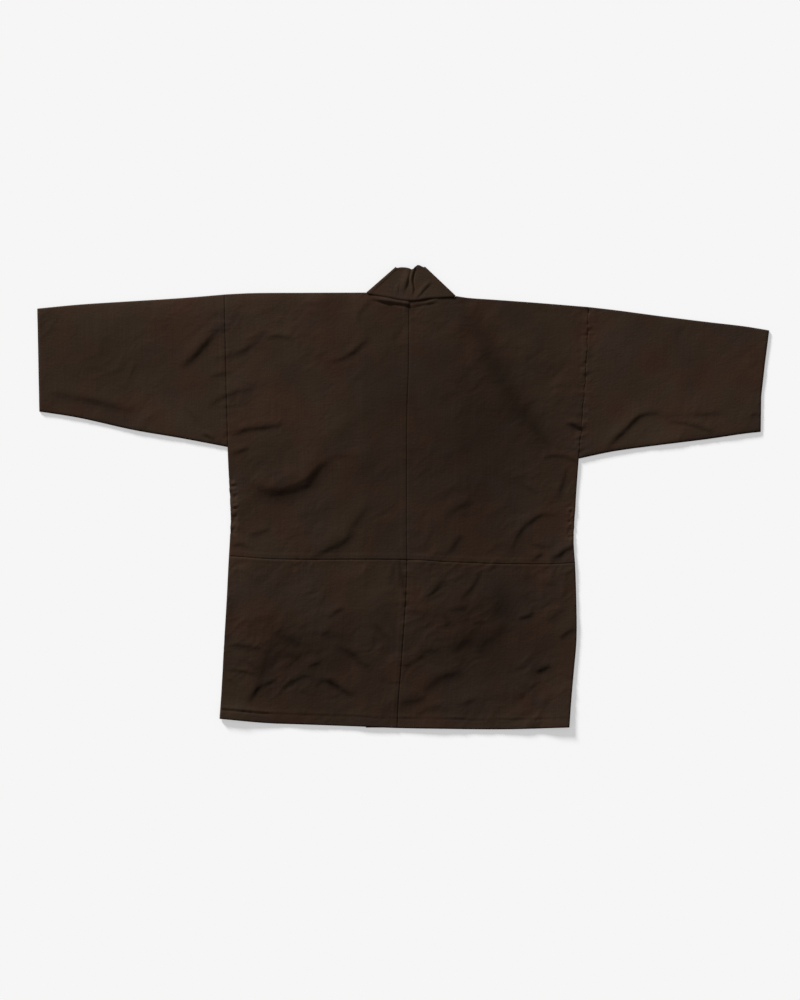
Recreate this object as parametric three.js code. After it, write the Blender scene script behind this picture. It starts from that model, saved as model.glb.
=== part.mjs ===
// A kimono jacket of the straight haori cut, in dark brown cloth, laid out flat with its back up.
// Millimetres, +Z up. +Y runs towards the neck and +X towards the wearer's right sleeve.
// The origin is the middle of the jacket's box, on the surface that it lies on.
import * as THREE from "three";

// Driving dimensions
const cloth = 1.5; // the wall of the body and the sleeves
const bandWall = 2.4; // the collar band is cloth folded double
const layerGap = 0.6; // between the under and upper layers, where they lie on each other
const seamGap = 0.3; // between two pieces at a seam
const pitch = 21; // about how far apart the points of a sheet are
const neckPitch = 12; // the neck curve takes closer ones
const turnSteps = 4; // faces round the turn of a fold
const hemDepth = 17; // the turned-up hem of the lower back
const hemStep = 0.7; // how far the hem stands above the single cloth
const hemStepShare = 0.8; // where that step begins, as a share of the hem's depth
const frontInset = 2; // the fronts stop this far inside the back's hem and sides
const frontRowPitch = 90; // the fronts lie flat, so their rows can be far apart
const bandWidth = 51; // the collar band, finished
const bandPitch = 13; // how far apart the points across it are
const bandLift = 0.9; // the band under the back lifts it by this much
const bandLiftRamp = 30; // and the back comes down again over this width

// Sections across the body, from the shoulders down to the hem.
const bodySections = [
  { y: 376, left: -331.2, centre: 10.5, right: 344.1 },
  { y: 253, left: -328.8, centre: 9.8, right: 338.6 },
  { y: 161, left: -326.6, centre: 6.8, right: 332.1 },
  { y: 83, left: -324.5, centre: 6.4, right: 325.4 },
  { y: 24, left: -321.8, centre: 6.2, right: 321.0 },
  { y: -34, left: -319.1, centre: 6.1, right: 317.3 },
  { y: -85, left: -320.9, centre: 6.3, right: 314.8 },
  { y: -116, left: -322.8, centre: 6.8, right: 317.4 },
  { y: -190, left: -326.5, centre: 4.6, right: 320.0 },
  { y: -264, left: -331.0, centre: -0.6, right: 320.4 },
  { y: -320, left: -334.0, centre: -4.6, right: 315.6 },
  { y: -375, left: -337.2, centre: -9.0, right: 310.8 },
  { y: -430, left: -341.3, centre: -11.3, right: 307.0 },
];

// The fold along the top of each shoulder, from the sleeve to the neck.
const shoulderLeft = [
  { x: -331.2, y: 375.3 },
  { x: -280.0, y: 377.8 },
  { x: -190.0, y: 378.4 },
  { x: -69.4, y: 378.8 },
];
const shoulderRight = [
  { x: 98.1, y: 372.2 },
  { x: 121.0, y: 368.8 },
  { x: 166.0, y: 365.7 },
  { x: 254.0, y: 359.3 },
  { x: 344.1, y: 351.9 },
];

// The back neck seam, the seam across the back, and the hem, from left to right.
const neckSeam = [
  { x: -69.4, y: 377.2 },
  { x: -25.0, y: 368.9 },
  { x: 13.0, y: 363.4 },
  { x: 48.0, y: 367.8 },
  { x: 98.1, y: 371.0 },
];
const acrossSeam = [
  { x: -323.0, y: -108.4 },
  { x: -238.0, y: -114.6 },
  { x: 0.0, y: -115.2 },
  { x: 86.0, y: -119.7 },
  { x: 178.0, y: -123.0 },
  { x: 271.0, y: -123.6 },
  { x: 318.0, y: -121.2 },
];
const hemLine = [
  { x: -341.3, y: -409.8 },
  { x: -256.0, y: -417.7 },
  { x: -190.0, y: -420.2 },
  { x: -79.0, y: -424.2 },
  { x: -11.3, y: -427.0 },
  { x: 55.0, y: -428.2 },
  { x: 188.0, y: -429.4 },
  { x: 307.0, y: -426.0 },
];

// Sections along each sleeve, and the edge of its cuff.
const sleeveLeftSections = [
  { x: -677.3, top: 349.1, bottom: 159.0 },
  { x: -600.0, top: 356.6, bottom: 146.8 },
  { x: -500.0, top: 363.0, bottom: 124.4 },
  { x: -412.0, top: 368.5, bottom: 109.3 },
  { x: -324.0, top: 375.8, bottom: 92.6 },
];
const sleeveRightSections = [
  { x: 324.0, top: 354.0, bottom: 71.0 },
  { x: 388.0, top: 346.9, bottom: 84.6 },
  { x: 476.0, top: 335.2, bottom: 96.6 },
  { x: 565.0, top: 324.1, bottom: 107.7 },
  { x: 632.0, top: 316.3, bottom: 117.6 },
  { x: 677.3, top: 308.8, bottom: 122.4 },
];
const cuffLeft = [
  { y: 349.1, x: -677.3 },
  { y: 159.0, x: -673.4 },
];
const cuffRight = [
  { y: 308.8, x: 677.3 },
  { y: 264.9, x: 671.6 },
  { y: 176.1, x: 661.8 },
  { y: 122.4, x: 661.6 },
];

// Where the front edges run, and the top edge of the collar band behind the neck.
const frontEdge = { left: -69.4, right: 98.1 };
const collarTop = [
  { x: -12.2, y: 424.0, rise: 0.0 },
  { x: -3.0, y: 425.2, rise: 0.4 },
  { x: 9.8, y: 423.8, rise: 0.2 },
  { x: 17.2, y: 421.0, rise: -0.4 },
  { x: 26.3, y: 429.4, rise: 1.2 },
  { x: 38.2, y: 424.6, rise: 0.0 },
];

// The largest folds in the upper layer, each a curve through three points. The cloth stands up on the
// left of the way that a fold runs, and falls off on its right.
const folds = [
  { x0: -425, y0: 236, xm: -378, ym: 277, x1: -338, y1: 318, wide: 19, high: 2.0 },
  { x0: -662, y0: 196, xm: -590, ym: 186, x1: -498, y1: 154, wide: 19, high: 1.6 },
  { x0: -348, y0: 255, xm: -290, ym: 272, x1: -248, y1: 315, wide: 19, high: 1.8 },
  { x0: -316, y0: 119, xm: -270, ym: 128, x1: -212, y1: 139, wide: 19, high: 1.8 },
  { x0: -306, y0: 34, xm: -214, ym: 14, x1: -128, y1: 78, wide: 24, high: 4.6 },
  { x0: -130, y0: 250, xm: -84, ym: 272, x1: -52, y1: 302, wide: 19, high: 1.6 },
  { x0: 268, y0: 90, xm: 190, ym: 202, x1: 122, y1: 306, wide: 30, high: 2.4 },
  { x0: 372, y0: 90, xm: 420, ym: 130, x1: 482, y1: 155, wide: 19, high: 3.4 },
  { x0: 482, y0: 154, xm: 540, ym: 133, x1: 580, y1: 122, wide: 19, high: 1.6 },
  { x0: -162, y0: -110, xm: -102, ym: -84, x1: -60, y1: -18, wide: 20, high: 2.8 },
  { x0: 262, y0: -112, xm: 290, ym: -104, x1: 318, y1: -92, wide: 19, high: 2.4 },
  { x0: 198, y0: -98, xm: 222, ym: -46, x1: 262, y1: -30, wide: 19, high: 1.8 },
  { x0: -170, y0: -350, xm: -122, ym: -352, x1: -78, y1: -364, wide: 20, high: 3.2 },
  { x0: -10, y0: -384, xm: 42, ym: -348, x1: 104, y1: -322, wide: 21, high: 3.2 },
  { x0: 104, y0: -392, xm: 128, ym: -374, x1: 158, y1: -358, wide: 19, high: 1.6 },
  { x0: 288, y0: -266, xm: 302, ym: -254, x1: 316, y1: -240, wide: 19, high: 2.0 },
  { x0: -66, y0: 368, xm: -28, ym: 360, x1: 12, y1: 352, wide: 19, high: 2.2 },
];
const foldPieces = 12; // straight pieces that a fold's curve is measured along
const crest = { at: 0.55, spread: 0.75 }; // where the crest stands, in widths of the fold
const trough = { at: -0.5, spread: 0.5, depth: 0.4 }; // its depth is a share of the crest's height

const mix = (a, b, t) => a + (b - a) * t;
const smooth = (t) => {
  const s = Math.min(1, Math.max(0, t));
  return s * s * (3 - 2 * s);
};

// A smooth curve through one column of a table, read against another column that runs one way.
function curve(table, along, column) {
  const rows = [...table].sort((a, b) => a[along] - b[along]);
  const slope = (i, j) => (rows[j][column] - rows[i][column]) / (rows[j][along] - rows[i][along]);
  const tangents = rows.map((_, i) => slope(Math.max(0, i - 1), Math.min(rows.length - 1, i + 1)));
  return (at) => {
    let i = rows.findIndex((row, k) => k > 0 && at <= row[along]) - 1;
    if (i < 0) i = at <= rows[0][along] ? 0 : rows.length - 2;
    const span = rows[i + 1][along] - rows[i][along];
    const t = Math.min(1, Math.max(0, (at - rows[i][along]) / span));
    const [t2, t3] = [t * t, t * t * t];
    return (
      (2 * t3 - 3 * t2 + 1) * rows[i][column] +
      (t3 - 2 * t2 + t) * span * tangents[i] +
      (3 * t2 - 2 * t3) * rows[i + 1][column] +
      (t3 - t2) * span * tangents[i + 1]
    );
  };
}

// Points along a fold's curve, which passes through its middle point.
function foldLine(fold) {
  const bend = { x: 2 * fold.xm - (fold.x0 + fold.x1) / 2, y: 2 * fold.ym - (fold.y0 + fold.y1) / 2 };
  return Array.from({ length: foldPieces + 1 }, (_, i) => {
    const t = i / foldPieces;
    return new THREE.Vector2(
      mix(mix(fold.x0, bend.x, t), mix(bend.x, fold.x1, t), t),
      mix(mix(fold.y0, bend.y, t), mix(bend.y, fold.y1, t), t),
    );
  });
}
const foldLines = folds.map((fold) => ({ ...fold, line: foldLine(fold) }));

// How far one fold lifts the cloth at a point: a crest beside a shallow trough, fading out at both ends.
function foldRise(fold, x, y) {
  let [nearest, side, share] = [Infinity, 0, 0];
  for (let i = 0; i < foldPieces; i++) {
    const [a, b] = [fold.line[i], fold.line[i + 1]];
    const [dx, dy] = [b.x - a.x, b.y - a.y];
    const t = Math.min(1, Math.max(0, ((x - a.x) * dx + (y - a.y) * dy) / (dx * dx + dy * dy)));
    const [offX, offY] = [x - a.x - t * dx, y - a.y - t * dy];
    const distance = Math.hypot(offX, offY);
    if (distance >= nearest) continue;
    nearest = distance;
    side = Math.sign(dx * offY - dy * offX);
    share = (i + t) / foldPieces;
  }
  const across = (side * nearest) / fold.wide;
  const wave = ({ at, spread }) => Math.exp(-(((across - at) / spread) ** 2));
  return fold.high * Math.sin(Math.PI * share) * (wave(crest) - trough.depth * wave(trough));
}

const underMiddle = cloth / 2; // the height of the under layer's middle
const upperMiddle = underMiddle + cloth + layerGap;
const turnReach = (upperMiddle - underMiddle) / 2; // how far a turn's middle stands out

// The height of the upper layer's middle.
function upperHeight(x, y) {
  const outside = Math.max(frontEdge.left - x, x - frontEdge.right);
  const lift = bandLift * (1 - smooth(outside / bandLiftRamp));
  const risen = foldLines.reduce((sum, fold) => sum + foldRise(fold, x, y), 0);
  return upperMiddle + Math.max(lift, lift + risen);
}

// A closed wall about rows of points. Each point has the direction that faces outwards, and next to each
// other rows are joined over the points that both have.
function wall(rows, thickness, { ring = false, turned = false } = {}) {
  const starts = [];
  const position = [];
  let count = 0;
  for (const row of rows) {
    starts.push(count);
    count += row.length;
  }
  for (const side of [0.5, -0.5])
    for (const { at, out } of rows.flat())
      position.push(...at.clone().addScaledVector(out, side * thickness).toArray());
  const index = [];
  const open = new Map();
  const face = (...corners) => {
    const [a, b, c, d] = turned ? corners.reverse() : corners;
    index.push(a, b, c, a, c, d, a + count, c + count, b + count, a + count, d + count, c + count);
    for (const [from, to] of [[a, b], [b, c], [c, d], [d, a]])
      if (!open.delete(`${to},${from}`)) open.set(`${from},${to}`, [from, to]);
  };
  const joins = ring ? rows.length : rows.length - 1;
  for (let i = 0; i < joins; i++) {
    const j = (i + 1) % rows.length;
    const shared = Math.min(rows[i].length, rows[j].length);
    for (let k = 0; k + 1 < shared; k++)
      face(starts[i] + k, starts[i] + k + 1, starts[j] + k + 1, starts[j] + k);
  }
  for (const [from, to] of open.values())
    index.push(to, from, from + count, to, from + count, to + count);
  return new THREE.BufferGeometry()
    .setAttribute("position", new THREE.Float32BufferAttribute(position, 3))
    .setIndex(index);
}

const up = new THREE.Vector3(0, 0, 1);
const down = new THREE.Vector3(0, 0, -1);
const upper = (x, y, raise = 0) => ({ at: new THREE.Vector3(x, y, upperHeight(x, y) + raise), out: up });
const under = (x, y) => ({ at: new THREE.Vector3(x, y, underMiddle), out: down });

const placeRounds = 6; // each brings the place closer, and the edges are nearly straight

// The point of a region at the shares a across it and b up it. Its edges are left and right at a height y,
// and bottom and top at a place x, so both are worked out together.
function placeIn(region, a, b) {
  let [x, y] = [0, 0];
  for (let round = 0; round < placeRounds; round++) {
    x = mix(region.left(y), region.right(y), a);
    y = mix(region.bottom(x), region.top(x), b);
  }
  return [x, y];
}

const shares = (length, step = pitch) => {
  const count = Math.max(1, Math.round(length / step));
  return Array.from({ length: count + 1 }, (_, i) => i / count);
};

// The points round a turn of the cloth, from the upper layer's edge to the under layer's, about the
// point of that upper edge. way is the direction in which the turn stands out.
function turn(edge, way, steps = turnSteps) {
  const reachUp = (edge.at.z - underMiddle) / 2;
  return Array.from({ length: steps - 1 }, (_, i) => {
    const angle = Math.PI / 2 - (Math.PI * (i + 1)) / steps;
    const [cos, sin] = [Math.cos(angle), Math.sin(angle)];
    const at = edge.at.clone().addScaledVector(way, turnReach * cos);
    at.z = underMiddle + reachUp * (1 + sin);
    const out = way.clone().multiplyScalar(cos / turnReach);
    out.z = sin / reachUp;
    return { at, out: out.normalize() };
  });
}

const turnInset = turnReach + cloth / 2; // from the outline to where a turn starts
const towardsNeck = new THREE.Vector3(0, 1, 0);
const towardsHem = new THREE.Vector3(0, -1, 0);
const halfSeam = seamGap / 2;

const sideOf = { left: curve(bodySections, "y", "left"), right: curve(bodySections, "y", "right") };
const centreSeam = curve(bodySections, "y", "centre");
const seamAcross = curve(acrossSeam, "x", "y");
const hemAt = curve(hemLine, "x", "y");
const neckAt = curve(neckSeam, "x", "y");
const shoulderAt = { left: curve(shoulderLeft, "x", "y"), right: curve(shoulderRight, "x", "y") };

// One length of cloth from the seam across the back, up over the shoulder and down the front to the hem.
function bodyPanel(side) {
  const inwards = side === "left" ? 1 : -1;
  const shoulder = shoulderAt[side];
  const neckX = frontEdge[side];
  const back = {
    left: (y) => sideOf[side](y) + inwards * halfSeam,
    right: (y) => centreSeam(y) - inwards * halfSeam,
    bottom: (x) => seamAcross(x) + halfSeam,
    top: (x) => shoulder(x) - turnInset,
  };
  const backBelowNeck = { ...back, top: (x) => neckAt(x) - halfSeam };
  const shoulderY = shoulder(neckX);
  const width = Math.abs(back.right(shoulderY) - back.left(shoulderY));
  const neckShare = Math.abs(neckX - back.left(shoulderY)) / width;
  const overShoulder = shares(width * neckShare).map((a) => a * neckShare);
  const underNeck = shares(width * (1 - neckShare), neckPitch).slice(1).map((a) => mix(neckShare, 1, a));
  const length = shoulderY - seamAcross(neckX);
  const rows = shares(length).map((b) => [
    ...overShoulder.map((a) => upper(...placeIn(back, a, b))),
    ...underNeck.map((a) => upper(...placeIn(backBelowNeck, a, b))),
  ]);
  const ridge = rows.at(-1).slice(0, overShoulder.length);
  const turns = ridge.map((edge) => turn(edge, towardsNeck));
  for (let i = 0; i < turnSteps - 1; i++) rows.push(turns.map((points) => points[i]));
  const front = {
    left: (y) => back.left(y) + inwards * frontInset * smooth((shoulderY - y) / length),
    right: () => neckX - inwards * halfSeam,
    bottom: (x) => hemAt(x) + frontInset,
    top: (x) => shoulder(x) - turnInset,
  };
  const frontLength = shoulderY - hemAt(neckX);
  rows.push(ridge.map(({ at }) => under(at.x, at.y)));
  for (const b of shares(frontLength, frontRowPitch).slice(1))
    rows.push(overShoulder.map((a) => under(...placeIn(front, a / neckShare, 1 - b))));
  return wall(rows, cloth, { turned: side === "right" });
}

// A back panel below the seam across, with its hem turned up inside.
function lowerBack(side) {
  const inwards = side === "left" ? 1 : -1;
  const panel = {
    left: (y) => sideOf[side](y) + inwards * halfSeam,
    right: (y) => centreSeam(y) - inwards * halfSeam,
    bottom: hemAt,
    top: (x) => seamAcross(x) - halfSeam,
  };
  const middle = mix(sideOf[side](0), centreSeam(0), 0.5);
  const length = seamAcross(middle) - hemAt(middle);
  const hemShare = hemDepth / length;
  const columns = shares(Math.abs(sideOf[side](0) - centreSeam(0)));
  const above = shares(length - hemDepth).map((b) => mix(hemShare, 1, b));
  const rows = [0, hemShare * hemStepShare, ...above].map((b) =>
    columns.map((a) => upper(...placeIn(panel, a, b), b < hemShare ? hemStep : 0)),
  );
  return wall(rows, cloth, { turned: side === "right" });
}

// A sleeve: one width of cloth, folded along the top and seamed along the bottom, open at both ends.
function sleeve(side) {
  const inwards = side === "left" ? 1 : -1;
  const sections = side === "left" ? sleeveLeftSections : sleeveRightSections;
  const cuff = curve(side === "left" ? cuffLeft : cuffRight, "y", "x");
  const top = curve(sections, "x", "top");
  const bottom = curve(sections, "x", "bottom");
  const tube = {
    left: cuff,
    right: (y) => sideOf[side](y) - inwards * halfSeam,
    bottom: (x) => bottom(x) + turnInset,
    top: (x) => top(x) - turnInset,
  };
  const middle = mix(cuff(0), sideOf[side](0), 0.5);
  const columns = shares(Math.abs(cuff(0) - sideOf[side](0)));
  const upperRows = shares(top(middle) - bottom(middle)).map((b) =>
    columns.map((a) => upper(...placeIn(tube, a, b))),
  );
  const [first, last] = [upperRows[0], upperRows.at(-1)];
  const ring = [...upperRows];
  const topTurns = last.map((edge) => turn(edge, towardsNeck));
  for (let i = 0; i < turnSteps - 1; i++) ring.push(topTurns.map((points) => points[i]));
  for (const b of shares(top(middle) - bottom(middle), frontRowPitch))
    ring.push(columns.map((a) => under(...placeIn(tube, a, 1 - b))));
  const bottomTurns = first.map((edge) => turn(edge, towardsHem).reverse());
  for (let i = 0; i < turnSteps - 1; i++) ring.push(bottomTurns.map((points) => points[i]));
  return wall(ring, cloth, { ring: true, turned: side === "right" });
}

// The collar band: one straight strip that runs up the left front, turns in at the neck on a slanting
// fold, crosses the back of the neck, turns again and runs down the right front.
function collarBand() {
  const underBand = bandWall / 2;
  const overBand = underBand + bandWall + 2 * layerGap;
  const across = shares(bandWidth, bandPitch);
  const topAt = curve(collarTop, "x", "y");
  const riseAt = curve(collarTop, "x", "rise");
  const reach = (overBand - underBand) / 2;
  const rowBetween = (seamPoint, freePoint, height, out) =>
    across.map((t) => ({
      at: new THREE.Vector3(
        mix(seamPoint[0], freePoint[0], t),
        mix(seamPoint[1], freePoint[1], t),
        height + t * (freePoint[2] ?? 0),
      ),
      out,
    }));
  const ends = ["left", "right"].map((side) => {
    const inwards = side === "left" ? 1 : -1;
    const seamX = frontEdge[side] + inwards * (halfSeam + reach + bandWall / 2);
    const freeX = (side === "left" ? collarTop[0] : collarTop.at(-1)).x;
    const corner = [seamX, neckAt(seamX) + halfSeam];
    const tip = [freeX, topAt(freeX)];
    const edgeX = frontEdge[side] + inwards * halfSeam;
    const freeEdgeX = edgeX + inwards * bandWidth;
    const slant = new THREE.Vector3(tip[0] - corner[0], tip[1] - corner[1], 0).normalize();
    const way = new THREE.Vector3(-inwards * slant.y, inwards * slant.x, 0);
    return { inwards, corner, tip, edgeX, freeEdgeX, way };
  });
  // The front run on the under side, from the hem to the slanting fold.
  const frontRun = ({ corner, tip, edgeX, freeEdgeX }) => {
    const straightTop = corner[1] - bandWidth / 2;
    const foot = hemAt((edgeX + freeEdgeX) / 2) + frontInset;
    const straight = shares(straightTop - foot, frontRowPitch).map((b) => {
      const y = mix(foot, straightTop, b);
      return rowBetween([edgeX, y], [freeEdgeX, y], underBand, down);
    });
    const fanned = shares(1, 0.5).slice(1).map((t) =>
      rowBetween(
        [mix(edgeX, corner[0], t), mix(straightTop, corner[1], t)],
        [mix(freeEdgeX, tip[0], t), mix(straightTop, tip[1], t)],
        underBand,
        down,
      ),
    );
    return [...straight, ...fanned];
  };
  const slantTurn = ({ corner, tip, way }, rise) =>
    Array.from({ length: turnSteps - 1 }, (_, i) => {
      const angle = -Math.PI / 2 + (Math.PI * (i + 1)) / turnSteps;
      const out = way.clone().multiplyScalar(Math.cos(angle));
      out.z = Math.sin(angle);
      const row = rowBetween(corner, tip, underBand + reach, out);
      return row.map(({ at }) => ({ at: at.addScaledVector(out, reach), out }));
    });
  const [left, right] = ends;
  const backColumns = shares(right.corner[0] - left.corner[0], neckPitch);
  const behindNeck = backColumns.map((t) => {
    const seamX = mix(left.corner[0], right.corner[0], t);
    const freeX = mix(left.tip[0], right.tip[0], t);
    return rowBetween(
      [seamX, neckAt(seamX) + halfSeam],
      [freeX, topAt(freeX), riseAt(freeX)],
      overBand,
      up,
    );
  });
  const rows = [
    ...frontRun(left),
    ...slantTurn(left),
    ...behindNeck,
    ...slantTurn(right).reverse(),
    ...frontRun(right).reverse(),
  ];
  return wall(rows, bandWall, { turned: true });
}

const finish = (color, roughness) => new THREE.MeshStandardMaterial({ color, roughness, metalness: 0 });
const bodyCloth = finish(0x2d231c, 0.7);
const collarCloth = finish(0x2f251d, 0.7);

const jacket = new THREE.Group();
function addPiece(name, geometry, material) {
  const mesh = new THREE.Mesh(geometry, material.clone());
  mesh.name = name;
  mesh.geometry.computeVertexNormals();
  jacket.add(mesh);
}
for (const side of ["left", "right"]) {
  addPiece(`body_${side}`, bodyPanel(side), bodyCloth);
  addPiece(`lower_back_${side}`, lowerBack(side), bodyCloth);
  addPiece(`sleeve_${side}`, sleeve(side), bodyCloth);
}
addPiece("collar_band", collarBand(), collarCloth);

export default jacket;
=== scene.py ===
import math
import bpy
import numpy as np
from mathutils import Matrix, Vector


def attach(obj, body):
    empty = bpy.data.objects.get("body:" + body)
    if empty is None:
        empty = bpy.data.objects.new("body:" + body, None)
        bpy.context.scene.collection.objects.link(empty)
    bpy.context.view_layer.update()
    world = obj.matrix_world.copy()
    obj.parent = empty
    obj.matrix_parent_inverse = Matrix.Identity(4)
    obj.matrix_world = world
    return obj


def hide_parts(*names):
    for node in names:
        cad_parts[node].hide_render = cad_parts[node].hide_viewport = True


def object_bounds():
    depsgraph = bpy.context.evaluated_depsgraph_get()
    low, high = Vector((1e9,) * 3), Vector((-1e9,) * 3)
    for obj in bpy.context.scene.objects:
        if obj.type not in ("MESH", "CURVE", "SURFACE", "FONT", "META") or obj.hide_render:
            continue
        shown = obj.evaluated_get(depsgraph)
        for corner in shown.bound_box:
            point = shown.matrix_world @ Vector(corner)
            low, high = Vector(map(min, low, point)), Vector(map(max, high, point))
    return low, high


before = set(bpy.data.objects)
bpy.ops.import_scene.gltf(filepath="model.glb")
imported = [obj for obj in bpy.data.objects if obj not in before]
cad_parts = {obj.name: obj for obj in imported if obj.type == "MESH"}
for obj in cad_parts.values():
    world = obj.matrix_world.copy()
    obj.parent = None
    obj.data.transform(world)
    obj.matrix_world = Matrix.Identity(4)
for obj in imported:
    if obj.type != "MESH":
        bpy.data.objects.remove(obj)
cadBox = [list(corner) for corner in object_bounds()]

view = {"lens": 85, "sensor": 36, "frameHeight": 1.85, "aim": (-0.0060, -0.0052)}
light = {"sun": 6.65, "sunAngle": 11, "sunFrom": (-0.55, 0.835), "sunHeight": 17, "fill": 0.31}
floorLook = {"size": 80, "glow": 0.40, "paper": 0.56, "below": 0.0003}


def addCamera():
    bpy.ops.object.camera_add(rotation=(0, 0, 0))
    camera = bpy.context.object
    camera.name = "camera"
    camera.data.lens = view["lens"]
    camera.data.sensor_width = view["sensor"]
    distance = view["frameHeight"] * view["lens"] / view["sensor"]  # straight down
    camera.location = (view["aim"][0], view["aim"][1], distance + cadBox[1][2] / 2)
    bpy.context.scene.camera = camera


def addLight():
    bpy.ops.object.light_add(type="SUN", location=(-2, 2, 2))
    sun = bpy.context.object
    sun.data.energy = light["sun"]
    sun.data.angle = math.radians(light["sunAngle"])
    flat = math.cos(math.radians(light["sunHeight"]))
    way = Vector(light["sunFrom"]).normalized() * flat
    towards = Vector((way.x, way.y, math.sin(math.radians(light["sunHeight"]))))
    sun.rotation_mode = "QUATERNION"
    sun.rotation_quaternion = towards.to_track_quat("Z", "Y")
    world = bpy.data.worlds.new("studio")
    world.use_nodes = True
    world.node_tree.nodes["Background"].inputs["Color"].default_value = (1, 1, 1, 1)
    world.node_tree.nodes["Background"].inputs["Strength"].default_value = light["fill"]
    bpy.context.scene.world = world
    bpy.context.scene.view_settings.view_transform = "Standard"


def addFloor():
    bpy.ops.mesh.primitive_plane_add(size=floorLook["size"], location=(0, 0, -floorLook["below"]))
    floor = bpy.context.object
    floor.name = "floor"
    paper = bpy.data.materials.new("pale_floor")
    paper.use_nodes = True
    shader = paper.node_tree.nodes["Principled BSDF"]
    shader.inputs["Base Color"].default_value = (floorLook["paper"],) * 3 + (1,)
    shader.inputs["Roughness"].default_value = 1
    shader.inputs["Specular IOR Level"].default_value = 0
    shader.inputs["Emission Color"].default_value = (1, 1, 1, 1)
    shader.inputs["Emission Strength"].default_value = floorLook["glow"]
    floor.data.materials.append(paper)


addCamera()
addLight()
addFloor()
print("stage: camera, light and floor")


class Wire:  # a socket that takes part in sums

    def __init__(self, tree, socket):
        self.tree, self.socket = tree, socket

    def sum(self, operation, first, second):
        node = self.tree.nodes.new("ShaderNodeMath")
        node.operation = operation
        for slot, value in zip(node.inputs, (first, second)):
            if isinstance(value, Wire):
                self.tree.links.new(value.socket, slot)
            else:
                slot.default_value = value
        return Wire(self.tree, node.outputs[0])

    def __add__(self, other):
        return self.sum("ADD", self, other)

    def __radd__(self, other):
        return self.sum("ADD", other, self)

    def __sub__(self, other):
        return self.sum("SUBTRACT", self, other)

    def __rsub__(self, other):
        return self.sum("SUBTRACT", other, self)

    def __mul__(self, other):
        return self.sum("MULTIPLY", self, other)

    def __rmul__(self, other):
        return self.sum("MULTIPLY", other, self)

    def sin(self):
        return self.sum("SINE", self, 0)


class Finish:  # a material, with one way of adding nodes to it

    def __init__(self, name):
        self.material = bpy.data.materials.new(name)
        self.material.use_nodes = True
        self.tree = self.material.node_tree
        self.shader = self.tree.nodes["Principled BSDF"]

    def fill(self, node, sockets):
        for key, value in sockets.items():
            if isinstance(value, Wire):
                self.tree.links.new(value.socket, node.inputs[key])
            else:
                node.inputs[key].default_value = value

    def node(self, kind, settings, sockets, output=0):
        node = self.tree.nodes.new(kind)
        for key, value in settings.items():
            setattr(node, key, value)
        self.fill(node, sockets)
        return Wire(self.tree, node.outputs[output])


silk = {
    "red": (0.0343, 0.0183, 0.0118),  # the tones that the shot cloth turns between
    "olive": (0.0307, 0.0203, 0.0131),
    "plum": (0.0298, 0.0192, 0.0142),
    "patch": 0.095,
    "thread": 0.0006,  # from one thread to the next
    "slub": (0.045, 0.0017),  # length and width of the uneven threads
    "warpShare": 0.14,
    "weftShare": 0.14,
    "grain": (0.0028, 0.16),  # size and share
    "crinkle": (0.0062, 0.0050, 0.00068),  # length, width and height of the finest creases
    "roughness": 0.82,
    "gloss": 0.015,
    "glossTint": (1.0, 0.66, 0.46, 1),
    "sheen": 0.10,  # the nap, which lightens the cloth towards its edges
    "sheenTint": (0.42, 0.22, 0.13, 1),
}


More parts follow.
